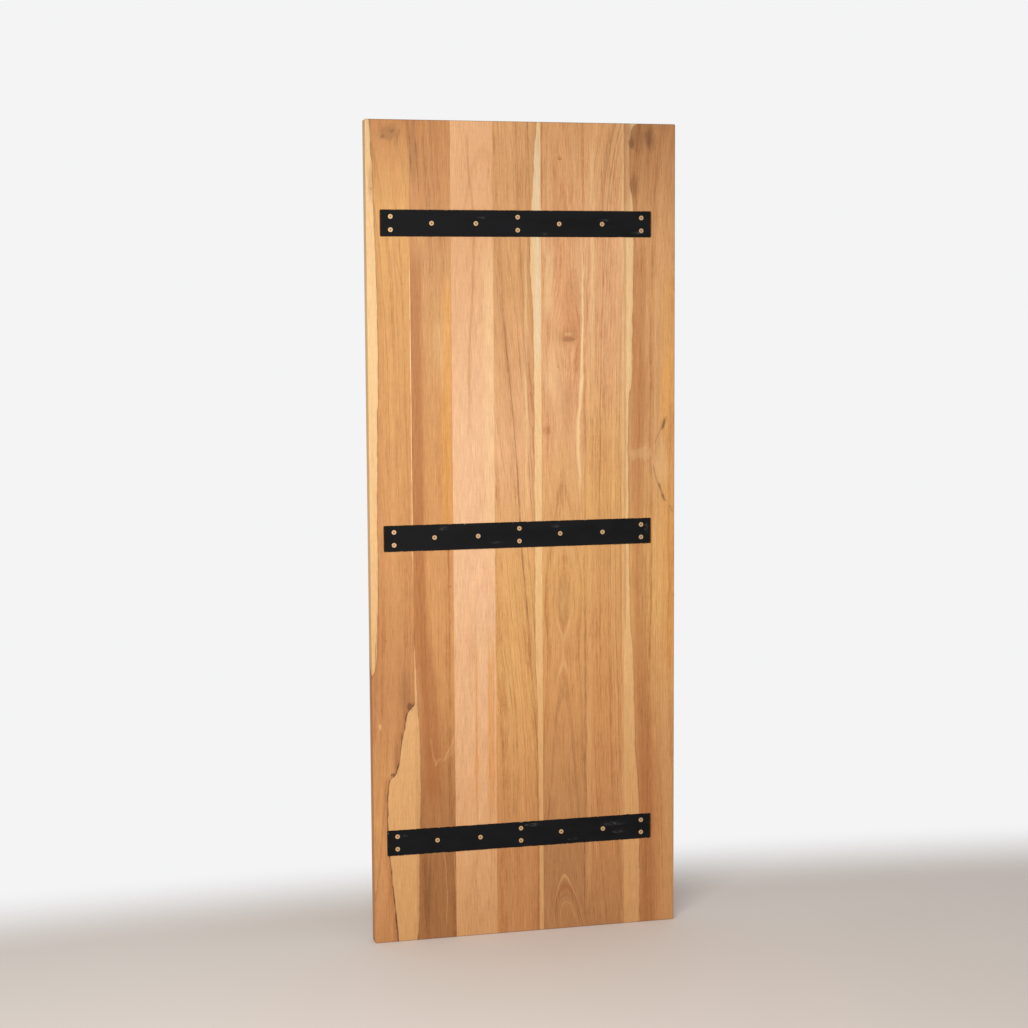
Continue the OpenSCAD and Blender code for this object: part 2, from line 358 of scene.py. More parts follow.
FIGURES = {
    "stave_1": Figure(
        heart=[(0, TAN), (0.15, HONEY), (0.3, TAN), (0.5, HONEY), (0.9, GOLDEN),
               (1, TAN)],
        pith=-60, depth=[(0, 190), (0.5, 170), (1, 200)], ring=3.4, contrast=0.8,
        hairlines=0.25, dashes=0.3,
        zones=[
            Zone([(0, -9), (500, -4), (550, 7.5), (620, 12.5), (700, 14), (850, 15),
                  (1000, 17), (1150, 20), (1350, 17), (1600, 8)],
                 "left", 0.8, SAPWOOD, 0.8, 0.5),
            Zone([(0, 46), (69, 41), (138, 34), (227, 28), (275, 28), (312, 30.5),
                  (328, 34), (333, 43), (357, 51), (380, 55), (402, 58), (430, 64),
                  (452, 67), (461, 73), (475, 83), (520, 92), (1600, 92)],
                 "right", 0.7, SAPWOOD, 0.8, 1.0)],
        bands=[Band([(0, 83.5), (1600, 83.5)], 1.6, 690, 1360, SAPWOOD, 0.95)],
        lines=[Line(12, 640, 6, 548, 1.2, DARK, 0.6),
               Line(52, 1390, 72, 1270, 1.4, DARK, 0.25, -3),
               Line(60, 1390, 68, 1240, 1.2, RED, 0.45, 3),
               Line(60, 900, 62, 640, 1.0, RED, 0.35),
               Line(34, 1320, 38, 700, 1.0, RED, 0.35, 3)],
        smudges=[Smudge(45, 1574, 26, 22, DARK, 0.3),
                 Smudge(34, 1567, 6, 5, DARK, 0.35),
                 Smudge(52, 1578, 7, 6, DARK, 0.35),
                 Smudge(10, 1480, 7, 40, RED, 0.4),
                 Smudge(66, 500, 16, 60, DARK, 0.22),
                 Smudge(74, 470, 9, 9, DARK, 0.7),
                 Smudge(40, 336, 7, 4, DARK, 0.7),
                 Smudge(57, 408, 3, 12, DARK, 0.5),
                 Smudge(46, 375, 8, 40, DARK, 0.3),
                 Smudge(16, 432, 3, 8, SAPWOOD, 0.8)],
        knots=[Knot(28, 601, 2.2, 0.5), Knot(11, 1470, 2, 0.4)]),
    "stave_2": Figure(
        heart=[(0, RUSSET), (0.1, RUSSET), (0.35, HONEY), (0.6, HONEY),
               (0.8, OAT), (1, TAN)],
        pith=60, depth=[(0, 52), (0.12, 60), (0.3, 72), (0.6, 76), (1, 90)],
        ring=4.2, contrast=1.0, hairlines=0.25, dashes=0.3,
        zones=[
            Zone([(0, 83), (50, 88.5), (200, 91), (300, 94.5), (400, 94), (470, 90),
                  (600, 85), (640, 82), (1600, 82)], "left", 0.6, SAPWOOD, 0.7, 0.3)],
        bands=[Band([(0, 122), (400, 116), (560, 106), (680, 94), (1600, 92)], 26, 230,
                    1390, RED, 0.62),
               Band([(0, 112), (560, 104), (680, 100), (1600, 99)], 9, 420, 1330,
                    RED, 0.3),
               Band([(0, 150), (900, 152), (1600, 158)], 16, 760, 1330,
                    GOLD, 0.6)],
        lines=[Line(84, 1580, 89, 1500, 1.8, DARK, 0.5),
               Line(96, 1575, 104, 1450, 2.0, DARK, 0.55),
               Line(112, 1600, 118, 1380, 3, DARK, 0.25),
               Line(134, 350, 167, 420, 3.4, SAPWOOD, 0.5, 5),
               Line(140, 352, 168, 400, 7, SAPWOOD, 0.25, 4),
               Line(124, 346, 136, 364, 5, SAPWOOD, 0.4, -3),
               Line(127, 346, 115, 410, 3.4, SAPWOOD, 0.3, -3),
               Line(137, 192, 141, 4, 1.8, SAPWOOD, 0.5, 6),
               Line(157, 190, 163, 20, 1.8, SAPWOOD, 0.45, 3),
               Line(112, 170, 108, 20, 4, DARK, 0.25),
               Line(150, 705, 161, 700, 1.6, DARK, 0.6)],
        smudges=[Smudge(92, 1540, 12, 90, DARK, 0.22),
                 Smudge(140, 1180, 16, 90, SAPWOOD, 0.22),
                 Smudge(106, 90, 12, 90, DARK, 0.25)],
        knots=[Knot(156, 703, 2.5, 0.5)]),
    "stave_3": Figure(
        heart=[(0, OAT), (0.2, STRAW), (0.4, CREAM), (0.65, CREAM),
               (0.85, STRAW), (1, STRAW)],
        pith=230, depth=[(0, 260), (1, 300)], ring=3.0, contrast=0.7,
        hairlines=0.08, dashes=0.25,
        bands=[Band([(0, 206), (700, 208), (1600, 204)], 4, 180, 620, GOLD, 0.4),
               Band([(0, 236), (1600, 240)], 10, 200, 620, GOLD, 0.5),
               Band([(0, 240), (1600, 240)], 18, 700, 1390, SAPWOOD, 0.4),
               Band([(0, 202), (1100, 199), (1240, 204), (1380, 209), (1500, 200),
                     (1600, 197)], 4.0, 980, 1590, RED, 0.3)],
        lines=[Line(209, 1385, 204, 1240, 1.2, RED, 0.45),
               Line(204, 1240, 198, 1060, 1.2, RED, 0.35, -4),
               Line(196, 1590, 203, 1440, 1.0, RED, 0.35),
               Line(186, 1590, 189, 1440, 1.0, RED, 0.25),
               Line(208, 560, 206, 250, 1.3, GOLD, 0.8),
               Line(232, 700, 236, 60, 1.3, GOLD, 0.6),
               Line(243, 640, 242, 230, 1.6, GOLD, 0.7),
               Line(178, 420, 181, 100, 2.0, DARK, 0.08)]),
    "stave_4": Figure(
        heart=[(0, TAN), (0.1, TAN), (0.3, GOLDEN), (0.45, GOLDEN),
               (0.6, STRAW), (0.8, OAT), (1, OAT)],
        pith=180, depth=[(0, 70), (0.4, 64), (0.8, 60), (1, 66)], ring=4.6, contrast=1.0,
        hairlines=0.42, dashes=0.25,
        drift=[(0, -50), (300, -46), (600, -24), (850, -4), (1060, 12), (1330, 34),
               (1600, 42)],
        zones=[
            Zone([(0, 334), (300, 333), (450, 331), (600, 328), (850, 328), (1000, 328),
                  (1250, 326), (1330, 321), (1450, 325), (1600, 335)],
                 "right", 0.9, SAPWOOD, 0.78, 0.35)],
        bands=[Band([(0, 336), (1600, 335)], 7, 1100, 1600, BLEACHED, 0.7),
               Band([(0, 312), (1600, 312)], 4, 800, 1390, SAPWOOD, 0.35)],
        lines=[Line(250, 1330, 276, 1100, 1.4, DARK, 0.38, 4),
               Line(250, 1043, 281, 860, 1.2, DARK, 0.35, -2),
               Line(270, 1390, 303, 1075, 1.3, RED, 0.6, 5),
               Line(303, 1280, 325, 838, 1.5, DARK, 0.32, 2),
               Line(282, 1590, 290, 1430, 1.3, DARK, 0.4, 2),
               Line(300, 1600, 306, 1440, 1.5, DARK, 0.35, 4),
               Line(316, 1600, 310, 1430, 1.2, DARK, 0.4, 3),
               Line(260, 600, 283, 412, 1.3, DARK, 0.4, 3),
               Line(283, 412, 281, 225, 1.1, DARK, 0.4),
               Line(249, 640, 253, 362, 1.1, DARK, 0.3),
               Line(254, 461, 268, 464, 1.8, DARK, 0.8),
               Line(270, 458, 274, 449, 1.2, DARK, 0.7)]),
    "stave_5": Figure(
        heart=[(0, CHESTNUT), (0.1, CHESTNUT), (0.3, HONEY), (0.45, GOLDEN),
               (0.65, STRAW), (0.85, STRAW), (1, OAT)],
        pith=386, drift=[(0, -14), (105, 0), (160, 2), (400, 0), (1600, 0)],
        depth=[(0, 5), (0.025, 14), (0.066, 30), (0.2, 44), (0.3, 50), (0.355, 53),
               (0.42, 50), (0.5, 58), (0.65, 66), (1, 74)],
        ring=4.4, contrast=0.9, hairlines=0.2, dashes=0.2,
        bands=[Band([(0, 424), (870, 422), (950, 418), (1000, 417), (1050, 421),
                     (1150, 426), (1250, 428), (1600, 429)], 4.8, 850, 1390,
                    SAPWOOD, 0.9),
               Band([(0, 359), (1600, 359)], 12, 1200, 1390, SAPWOOD, 0.35),
               Band([(0, 376), (1600, 372)], 10, 1320, 1590, RED, 0.25)],
        arcs=[Arc(30.2, 0.9, -20, 118, SAPWOOD, 0.5),
              Arc(27.6, 2.2, -20, 112, RED, 0.5),
              Arc(18.4, 0.9, -20, 60, SAPWOOD, 0.35),
              Arc(52.7, 0.5, 470, 640, SAPWOOD, 0.35),
              Arc(51.6, 1.0, 490, 640, RED, 0.3)],
        lines=[Line(410, 300, 400, 180, 1.8, SAPWOOD, 0.3, 3),
               Line(404, 660, 407, 480, 1.6, SAPWOOD, 0.3, 2),
               Line(399, 310, 409, 230, 1.3, SAPWOOD, 0.45, 2),
               Line(350, 1180, 356, 1050, 1.0, DARK, 0.2, 2),
               Line(428, 1590, 429.5, 980, 1.3, RED, 0.6),
               Line(428.5, 820, 429.5, 190, 1.4, DARK, 0.45),
               Line(429, 190, 428, 1, 1.6, DARK, 0.6)],
        smudges=[Smudge(362, 1110, 15, 80, SAPWOOD, 0.35),
                 Smudge(355, 1003, 9, 12, RED, 0.6),
                 Smudge(398, 1060, 16, 60, RED, 0.3),
                 Smudge(398, 1240, 24, 70, RED, 0.3)],
        knots=[Knot(397, 1189, 21, 0.36), Knot(381, 1531, 5, 0.35),
               Knot(376, 1128, 1.6, 0.6)]),
    "stave_6": Figure(
        heart=[(0, CHESTNUT), (0.1, TAN), (0.3, HONEY), (0.55, GOLDEN),
               (0.75, STRAW), (0.85, STRAW), (1, OAT)],
        pith=600, depth=[(0, 150), (0.5, 120), (1, 160)], ring=3.4, contrast=0.9,
        hairlines=0.35, dashes=0.5,
        zones=[Zone([(0, 507), (1600, 507)], "right", 2.0, SAPWOOD, 0.35)],
        bands=[Band([(0, 446), (1600, 447)], 6, 1080, 1600, SAPWOOD, 0.35),
               Band([(0, 438), (1600, 438)], 6, 20, 500, SAPWOOD, 0.35)],
        lines=[Line(431.5, 700, 431.5, 200, 1.2, DARK, 0.6),
               Line(431, 1330, 431, 800, 1.0, RED, 0.6),
               Line(464, 1600, 468, 1180, 1.2, RED, 0.6, 2),
               Line(480, 1600, 484, 1100, 1.0, RED, 0.5, 2),
               Line(470, 1160, 476, 640, 1.2, RED, 0.55, 3),
               Line(489, 1400, 496, 760, 1.0, RED, 0.5, 4),
               Line(504, 980, 507, 640, 1.2, DARK, 0.3),
               Line(455, 900, 461, 300, 1.1, RED, 0.45, 2),
               Line(484, 700, 489, 60, 1.2, RED, 0.5, -2),
               Line(499, 560, 503, 120, 1.1, RED, 0.45)]),
    "stave_7": Figure(
        heart=[(0, TAN), (0.2, TAN), (0.4, GOLDEN), (0.5, GOLDEN),
               (0.6, OAT), (0.85, OAT), (1, CHESTNUT)],
        pith=700, depth=[(0, 90), (0.5, 70), (1, 110)], ring=4.2, contrast=1.0,
        hairlines=0.25, dashes=0.3,
        zones=[
            Zone([(0, 544), (230, 543), (300, 540), (350, 536), (450, 533), (550, 530),
                  (620, 525), (760, 522), (950, 520), (1045, 521), (1100, 527),
                  (1250, 530), (1400, 531), (1460, 528), (1500, 523), (1565, 523),
                  (1600, 540)], "left", 0.9, SAPWOOD, 0.72, 0.35)],
        bands=[Band([(0, 513), (1600, 513)], 4.5, 560, 1700, RED, 0.4),
               Band([(0, 518), (1600, 516)], 12, 1380, 1750, RED, 0.5),
               Band([(0, 562), (300, 558), (600, 546), (1000, 540), (1300, 544),
                     (1600, 552)], 20, -200, 1400, RED, 0.45),
               Band([(0, 604), (1600, 604)], 20, 420, 1350, GOLD, 0.3),
               Band([(0, 604), (1600, 604)], 22, -200, 560, SAPWOOD, 0.3)],
        lines=[Line(599, 1030, 588, 998, 4.5, DARK, 0.75, 1),
               Line(597, 1024, 590, 1003, 8, DARK, 0.42),
               Line(590, 1004, 575, 970, 2.4, DARK, 0.36, -2),
               Line(571, 936, 588, 880, 2.2, DARK, 0.5, -2),
               Line(583, 898, 597, 858, 3.2, DARK, 0.62, -1),
               Line(590, 874, 598, 856, 6.5, DARK, 0.55),
               Line(606, 852, 614, 834, 2.4, DARK, 0.42, -1),
               Line(524, 300, 522, 20, 1.4, GOLD, 0.6),
               Line(560, 480, 556, 20, 1.4, DARK, 0.3, 2),
               Line(590, 300, 596, 20, 1.3, RED, 0.5, -2),
               Line(567, 198, 574, 200, 2.2, DARK, 0.6)],
        smudges=[Smudge(545, 1580, 34, 40, DARK, 0.3),
                 Smudge(565, 1570, 12, 26, DARK, 0.45),
                 Smudge(527, 1562, 8, 16, DARK, 0.5),
                 Smudge(532, 1480, 12, 30, DARK, 0.35),
                 Smudge(600, 1080, 14, 90, GOLD, 0.6),
                 Smudge(588, 930, 22, 60, SAPWOOD, 0.25),
                 Smudge(546, 956, 26, 20, SAPWOOD, 0.25),
                 Smudge(550, 1080, 14, 90, RED, 0.4)]),
}


def grain_line_group():
    """A node group: how much of a short, slightly bowed line lies at a place."""
    tree = bpy.data.node_groups.new("Grain line", "ShaderNodeTree")
    names = ("X", "Z", "From X", "From Z", "To X", "To Z", "Bow", "Half width")
    for name in names:
        tree.interface.new_socket(name, in_out="INPUT", socket_type="NodeSocketFloat")
    tree.interface.new_socket("Mask", in_out="OUTPUT", socket_type="NodeSocketFloat")
    g = Graph(tree)
    given = dict(zip(names, g.add("NodeGroupInput").outputs))
    rise = g.minus(given["To Z"], given["From Z"])
    climbed = g.minus(given["Z"], given["From Z"])
    share = g.over(climbed, rise)
    run = g.minus(given["To X"], given["From X"])
    middle = g.times_plus(run, share, given["From X"])
    hump = g.times(share, g.minus(1.0, share))
    bow = g.times(given["Bow"], 4.0)
    middle = g.times_plus(hump, bow, middle)
    away = g.absolute(g.minus(given["X"], middle))
    across = g.smooth(away, given["Half width"], 0.0)
    along = g.between(share, 0.0, 1.0, 0.2, 0.2)
    mask = g.times(across, along)
    g.add("NodeGroupOutput", {"Mask": mask})
    return tree


def grain_across(g, place, figure):
    """Distance across the stave after the drift of the grain and round the knots."""
    long_sway, short_sway, parting = 14.0, 3.0, 0.8
    straight_x, _, z = g.split(place)
    x = straight_x
    share = g.over(z, SLAB_HEIGHT_MM)
    if figure.drift:
        shifts = [shift for _, shift in figure.drift]
        points = [(up / SLAB_HEIGHT_MM, shift) for up, shift in figure.drift]
        lean = g.follow(share, points, min(shifts) - 5, max(shifts) + 5)
        x = g.plus(x, lean)
    drift = g.minus(g.noise(place, (90, 90, 420)), 0.5)
    wobble = g.minus(g.noise(place, (14, 14, 90)), 0.5)
    x = g.times_plus(drift, long_sway, x)
    x = g.times_plus(wobble, short_sway, x)
    for knot in figure.knots:
        # The fibres part round a knot, over a stretch longer than it is wide
        reach = 1.9 * knot.radius
        aside = g.minus(straight_x, knot.x)
        along = g.minus(z, knot.z)
        away = g.distance(g.over(aside, reach), g.over(along, 2.2 * reach))
        push = g.math("EXPONENT", g.times(g.times(away, away), -1.0))
        x = g.minus(x, g.times(g.times(aside, push), parting))
    return x


class Wood:
    """Builds up the colour of one stave's surface, mark upon mark."""

    def __init__(self, g, figure, timber, line_group):
        self.g, self.figure, self.timber = g, figure, timber
        self.line_group = line_group
        self.place = place_in_mm(g)
        self.x, self.y, self.z = g.split(self.place)
        self.height = g.over(self.z, SLAB_HEIGHT_MM)
        grain_x = grain_across(g, self.place, figure)
        self.straight = g.vector(grain_x, self.y, self.z)
        # Growth rings: distance from the pith, which runs behind the face
        depth = self.along(figure.depth, share=True)
        aside = g.minus(grain_x, figure.pith)
        behind = g.plus(self.y, depth)
        self.radius = g.distance(aside, behind)
        self.ringed = g.vector(self.radius, 0.0, self.z)
        # Marks wander a little to either side of where they are set down
        fuzz = g.minus(g.noise(self.straight, (2.5, 2.5, 30), 3.0, 0.65), 0.5)
        sway = g.minus(g.noise(self.place, (9, 9, 34), 2.0), 0.5)
        wander = g.times_plus(sway, 5.0, g.times(fuzz, 3.0))
        slope = g.noise(g.vector(0.0, 0.0, self.z), (1, 1, 240), 1.0)
        slope = g.times(g.minus(slope, 0.2), self.y)
        wander = g.plus(wander, slope)
        self.mark_x = g.plus(self.x, wander)
        # Small marks run only part of the way through
        self.shallow = g.smooth(self.y, 22.0, 6.0)
        self.patchy = g.smooth(g.noise(self.straight, (5, 5, 26), 2.0), 0.3, 0.6, 0.35, 1.0)
        # Painted shade mixed with the timber's own tone: darker and warmer towards the foot
        # and a little darker at the top, where less light falls
        self.tone_and_painted_shade = g.ramp(self.height, [
            (0, (0.72, 0.56, 0.42)), (0.2, (0.80, 0.64, 0.50)), (0.5, (0.96, 0.90, 0.82)),
            (0.75, (1, 1, 1)), (1, (0.88, 0.86, 0.84))])

    def along(self, points, share=False):
        """A value that follows points of (z, value) up the stave."""
        values = [value for _, value in points]
        low, high = min(values) - 5, max(values) + 5
        if not share:
            points = [(up / SLAB_HEIGHT_MM, value) for up, value in points]
        return self.g.follow(self.height, points, low, high)

    def swing(self, noise, gain):
        """Noise as a swing of up to about gain to either side of nothing."""
        return self.g.times_plus(noise, 2.0 * gain, -gain)

    def tint(self, mask, strength, tone):
        g = self.g
        # Each mark takes the height ramp, so it carries the painted shade towards the foot
        # and the top
        shaded = g.blend(1.0, self.tone_and_painted_shade, getattr(self.timber, tone), "MULTIPLY")
        self.colour = g.blend(g.times(mask, strength), self.colour, shaded)

    def darken(self, mask, by):
        self.colour = self.g.blend(mask, self.colour, by, "MULTIPLY")

    def heartwood(self):
        """Heartwood, darker and redder or paler from ring to ring."""
        g, figure = self.g, self.figure
        years = g.noise(self.ringed, (figure.ring * 2.6, 1, 2400), 1.0)
        self.rings = g.noise(self.ringed, (figure.ring * 0.7, 1, 1500), 2.0, 0.6)
        streaks = g.noise(self.straight, (4, 4, 280), 2.0, 0.6)
        self.fibres = g.noise(self.straight, (0.9, 0.9, 45), 2.0, 0.6)
        flecks = g.noise(self.straight, (1.8, 1.8, 13), 2.0, 0.7)
        cloud = g.noise(self.straight, (26, 26, 130), 3.0, 0.6)
        tone = self.swing(years, 0.34)
        for layer, gain in ((self.rings, 0.22), (streaks, 0.18), (self.fibres, 0.20),
                            (flecks, 0.18), (cloud, 0.26)):
            tone = g.plus(tone, self.swing(layer, gain))
        reach = 0.34 / figure.contrast
        # Heartwood colours up the height; where they darken towards the foot and the top,
        # that is partly the timber's own tone and partly painted shade where less light
        # falls
        stops = [(share, tuple(getattr(self.timber, tone))) for share, tone in figure.heart]
        self.colour = g.ramp(self.height, stops)
        self.darken(g.smooth(tone, 0.0, -reach), (0.70, 0.54, 0.41))
        self.darken(g.smooth(tone, 0.0, reach), (1.14, 1.20, 1.26))
        # Some rings are redder and some more golden
        hue = g.noise(self.ringed, (figure.ring * 1.9, 3, 900), 2.0)
        self.darken(g.smooth(hue, 0.52, 0.68), (1.0, 0.95, 0.90))
        self.darken(g.smooth(hue, 0.48, 0.32), (1.0, 1.0, 0.95))
        late = g.noise(self.ringed, (figure.ring * 0.62, 1, 1100), 1.0)
        line = g.times(g.smooth(late, 0.60, 0.68), self.patchy)
        self.tint(line, figure.hairlines, DARK)

    def marks(self):
        """The bands, sapwood, lines, smudges and knots that belong to this stave."""
        g, figure = self.g, self.figure
        longest_ease = 90       # a band fades in and out over no more than this
        for zone in figure.zones:
            inside = g.minus(self.mark_x, self.along(zone.outline))
            if zone.side == "left":
                inside = g.times(inside, -1.0)
            self.tint(g.smooth(inside, -zone.soft, zone.soft), zone.strength, zone.tone)
            # Heartwood is darkest right against the sapwood, with a hairline between
            rim = g.times(g.smooth(inside, -14.0, -0.5), g.smooth(inside, 0.3, -0.3))
            self.tint(rim, 0.4 * zone.rim, RED)
            hairline = g.smooth(g.absolute(inside), 2.0, 0.2)
            self.tint(g.times(hairline, self.patchy), zone.rim, DARK)
        for band in figure.bands:
            away = g.absolute(g.minus(self.mark_x, self.along(band.outline)))
            across = g.smooth(away, band.half_width, band.half_width * 0.3)
            ease = min(longest_ease, (band.high - band.low) / 3)
            along = g.between(self.z, band.low, band.high, ease, ease)
            self.tint(g.times(across, along), band.strength, band.tone)
        for arc in figure.arcs:
            away = g.absolute(g.minus(self.radius, arc.radius))
            ease = (arc.high - arc.low) / 4
            along = g.between(self.z, arc.low, arc.high, ease, ease / 4)
            along = g.times(along, self.shallow)
            mask = g.times(g.smooth(away, arc.half_width, 0.0), along)
            self.tint(mask, arc.strength, arc.tone)
        for mark in figure.smudges:
            self.smudge(mark)
        for line in figure.lines:
            mask = g.add("ShaderNodeGroup", node_tree=self.line_group)
            places = (self.mark_x, self.z, line.x0, line.z0, line.x1, line.z1, line.bow)
            for socket, value in zip(mask.inputs, (*places, line.half_width)):
                g.feed(socket, value)
            broken = g.times(mask.outputs[0], self.patchy)
            broken = g.times(broken, self.shallow)
            self.tint(broken, line.strength, line.tone)
        for knot in figure.knots:
            self.knot(knot)

    def away_from(self, x, z, half_x, half_z):
        """Distance from a point, where 1 is the rim of an oval round it."""
        g = self.g
        off = g.over(g.minus(self.mark_x, x), half_x)
        up = g.over(g.minus(self.z, z), half_z)
        return g.distance(off, up)

    def smudge(self, mark):
        g = self.g
        away = self.away_from(mark.x, mark.z, mark.half_x, mark.half_z)
        smoke = g.noise(self.straight, (mark.half_x * 0.5, 9, mark.half_z), 3.0, 0.6)
        away = g.plus(away, self.swing(smoke, 1.0))
        spot = g.times(g.smooth(away, 1.15, 0.2), self.shallow)
        self.tint(spot, mark.strength, mark.tone)

    def knot(self, knot):
        """A dark crescent under a paler lens, in a reddish halo."""
        r = knot.radius
        halo = self.away_from(knot.x, knot.z, 1.3 * r, 1.35 * r)
        self.tint(self.g.smooth(halo, 1.0, 0.1), knot.dark * 1.5, RED)
        self.smudge(Smudge(knot.x, knot.z - 0.36 * r, 0.8 * r, 0.36 * r,
                           DARK, knot.dark))
        self.smudge(Smudge(knot.x + 0.1 * r, knot.z + 0.12 * r, 0.5 * r, 0.22 * r,
                           SAPWOOD, knot.dark * 0.7))

    def texture(self):
        """Fine texture that lies over everything: fibre lines, pores, cross ripple."""
        g = self.g
        ripple = g.noise(self.straight, (7, 7, 4), 2.0)
        fine = g.smooth(self.fibres, 0.30, 0.70, 0.87, 1.10)
        tone_and_painted_shade = g.times(fine, g.smooth(ripple, 0.3, 0.7, 0.985, 1.01))
        self.darken(1.0, g.vector(tone_and_painted_shade, tone_and_painted_shade, tone_and_painted_shade))
        dashes = g.noise(self.straight, (1.1, 1.1, 48), 2.0, 0.6)
        self.darken(g.smooth(dashes, 0.53, 0.66, 0.0, self.figure.dashes),
                    (0.80, 0.62, 0.46))
        pores = g.noise(self.straight, (0.5, 0.5, 12), 1.0)
        self.pores = g.smooth(pores, 0.60, 0.70)
        self.tint(self.pores, 0.18, DARK)

    def end_grain(self):
        """End grain is darker, and its pores are dots instead of dashes."""
        g = self.g
        facing = g.add("ShaderNodeTexCoord").outputs["Normal"]
        end = g.smooth(g.absolute(g.split(facing)[2]), 0.6, 0.85)
        dots = g.noise(self.place, (0.45, 0.45, 0.45), 1.0)
        arcs = g.smooth(self.rings, 0.35, 0.65, 0.62, 0.86)
        arcs = g.times(arcs, g.smooth(dots, 0.66, 0.5, 0.75, 1.0))
        self.darken(end, g.vector(arcs, arcs, arcs))


def timber_material(name, figure, timber, line_group):
    """Oiled solid timber of one stave: rings in depth, pores, streaks and knots."""
    material, g, shader, _ = new_material(name)
    wood = Wood(g, figure, timber, line_group)
    wood.heartwood()
    wood.marks()
    wood.texture()
    wood.end_grain()
    wood.darken(1.0, timber.tone)
    g.feed(shader.inputs["Base Color"], wood.colour)
    # Bare, duller wood on the recess floors, where no oil reached
    bare = g.times(g.smooth(wood.y, 3.0, 5.0), g.smooth(wood.y, 27.0, 6.0))
    rough = g.smooth(wood.fibres, 0.2, 0.8, 0.46, 0.62)
    rough = g.times_plus(wood.pores, 0.2, rough)
    g.feed(shader.inputs["Roughness"], g.times_plus(bare, 0.15, rough))
    shader.inputs["Specular IOR Level"].default_value = 0.3
    relief = g.times_plus(wood.fibres, 0.35, g.times(wood.rings, 0.25))
    relief = g.minus(relief, g.times(wood.pores, 0.55))
    bumped(g, shader, relief, 0.09 * MM)
    return material


def fibre_material(timber):
    """Raw torn fibres: pale, dry and slightly uneven."""
    material, g, shader, _ = new_material("Torn fibre")
    place = place_in_mm(g)
    patches = g.noise(place, (6, 6, 6), 2.0)
    strands = g.noise(place, (0.3, 0.3, 1.5), 1.0)
    dull = g.blend(1.0, timber.fibre, (0.62, 0.50, 0.38), "MULTIPLY")
    colour = g.blend(g.smooth(patches, 0.35, 0.65), dull, timber.fibre)
    colour = g.blend(g.smooth(strands, 0.45, 0.75, 0.0, 0.4), colour, timber.red_streak)
    g.feed(shader.inputs["Base Color"], colour)
    g.feed(shader.inputs["Roughness"], g.smooth(strands, 0.2, 0.8, 0.7, 0.9))
    shader.inputs["Specular IOR Level"].default_value = 0.2
    bumped(g, shader, strands, 0.05 * MM)
    return material


# --------------------------------------------------------- metal materials

# Where the paint is rubbed grey: x and z of the middle, and half the width and height
SCUFFS = {
    "bottom_strap": ((320, 217, 16, 3), (488, 208, 20, 4), (500, 191, 12, 3),
                     (60, 212, 8, 2), (404, 182, 9, 2)),
    "middle_strap": ((145, 817, 9, 4), (372, 815, 10, 3), (558, 806, 4, 9),
                     (250, 786, 12, 2)),
    "top_strap": ((352, 1386, 10, 2), (225, 1416, 8, 2), (470, 1412, 9, 3),
                  (540, 1388, 12, 2)),
}


def paint_material(name, strap, seed):
    """Matte black paint on hot rolled bar: scuffed on the face, chipped on the edges."""
    settings = bpy.context.scene.slab_strap
    material, g, shader, _ = new_material(name)
    low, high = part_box(strap)
    place = place_in_mm(g)
    shifted = g.moved("ADD", place, (211.0 * seed, 0.0, 97.0 * seed))
    x_mm, _, z_mm = g.split(place)
    low_mm, high_mm = (low - SLAB_LOW) / MM, (high - SLAB_LOW) / MM

    grit = g.noise(shifted, (0.7, 0.7, 0.7), 3.0, 0.6)
    scale = g.noise(shifted, (5, 5, 4), 3.0, 0.6)
    clouds = g.noise(shifted, (70, 70, 28), 3.0, 0.55)
    scratch = g.noise(shifted, (16, 16, 0.5), 2.0, 0.6)
    rubbed = g.noise(shifted, (30, 30, 7), 4.0, 0.7)
    leaning = g.vector(g.times_plus(z_mm, 1.6, x_mm), 0.0, z_mm)
    wisps = g.noise(leaning, (10, 1, 2.2), 4.0, 0.7)

    colour = g.blend(g.smooth(clouds, 0.35, 0.65, 0.0, 0.5), settings.paint,
                     g.blend(1.0, settings.paint, (1.9, 1.9, 2.0), "MULTIPLY"))
    smear = g.times(g.smooth(rubbed, 0.66, 0.80), g.smooth(scratch, 0.42, 0.62))
    for middle_x, middle_z, half_x, half_z in SCUFFS[strap]:
        off = g.over(g.minus(x_mm, middle_x), half_x)
        up = g.over(g.minus(z_mm, middle_z), half_z)
        away = g.distance(off, up)
        rub = g.times(g.smooth(away, 1.5, 0.4), g.smooth(wisps, 0.46, 0.62))
        smear = g.math("MAXIMUM", smear, rub)
    colour = g.blend(g.times(smear, 0.4), colour, settings.scuff)
    speck = g.smooth(grit, 0.70, 0.78)
    colour = g.blend(g.times(speck, 0.25), colour, settings.scuff)

    # Chips come where the noise is high and an edge is near
    to_side = g.math("MINIMUM", g.minus(x_mm, low_mm.x), g.minus(high_mm.x, x_mm))
    to_lip = g.math("MINIMUM", g.minus(z_mm, low_mm.z), g.minus(high_mm.z, z_mm))
    to_edge = g.math("MINIMUM", to_side, to_lip)
    flaw = g.noise(shifted, (9, 9, 2.5), 3.0, 0.65)
    edge_wear = g.times(g.smooth(to_edge, 1.7, 0.1), g.smooth(flaw, 0.66, 0.70))
    colour = g.blend(edge_wear, colour, settings.bare)
    g.feed(shader.inputs["Base Color"], colour)

    rough = g.smooth(clouds, 0.3, 0.7, 0.50, 0.64)
    rough = g.times_plus(smear, 0.2, rough)
    g.feed(shader.inputs["Roughness"], g.times_plus(speck, 0.1, rough))
    shader.inputs["Specular IOR Level"].default_value = 0.1
    relief = g.times_plus(scale, 0.6, g.times(grit, 0.3))
    relief = g.minus(relief, g.times(edge_wear, 0.5))
    bumped(g, shader, relief, 0.12 * MM)
    return material


